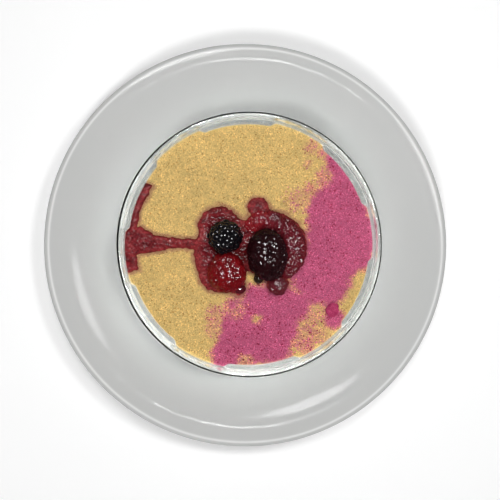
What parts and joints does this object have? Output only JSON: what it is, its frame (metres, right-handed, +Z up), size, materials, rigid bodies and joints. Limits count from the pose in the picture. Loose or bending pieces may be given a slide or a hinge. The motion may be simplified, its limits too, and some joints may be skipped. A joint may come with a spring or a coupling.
{
  "type": "banana pudding on plate",
  "caption": "Banana pudding in a clear bowl on a white soup plate, topped with crumbs, pink berry dust, berry sauce and soft berries.",
  "frame": {"origin": "middle of the plate's foot, on the surface that the plate stands on", "axes": "+Z up, +X to the right and +Y away from someone who sees the sauce trickle on the left"},
  "size_m": [0.23, 0.23, 0.0626],
  "materials": {
    "plate_glaze": "glossy white glaze",
    "clear_glass": "clear pressed glass",
    "pudding_crumbs": "pale yellow pudding under dry golden crumbs",
    "berry_sauce": "dark red berry sauce with a fine grain",
    "black_berry_skin": "near black shiny drupelets",
    "maroon_berry_skin": "very dark maroon shiny drupelets",
    "red_berry_flesh": "wet red berry flesh",
    "dried_berry": "dry pink berry dust and crumbs"
  },
  "bodies": {
    "root": {"plate": "plate_glaze", "glass_bowl": "clear_glass", "pudding": "pudding_crumbs", "berry_sauce": "berry_sauce", "dark_bramble": "black_berry_skin", "large_dark_berry": "maroon_berry_skin", "raspberry": "red_berry_flesh", "crushed_raspberry": "red_berry_flesh", "raspberry_lobe": "red_berry_flesh", "dark_bead": "black_berry_skin", "berry_scrap": "red_berry_flesh", "dried_raspberry": "dried_berry"}
  },
  "joints": []
}
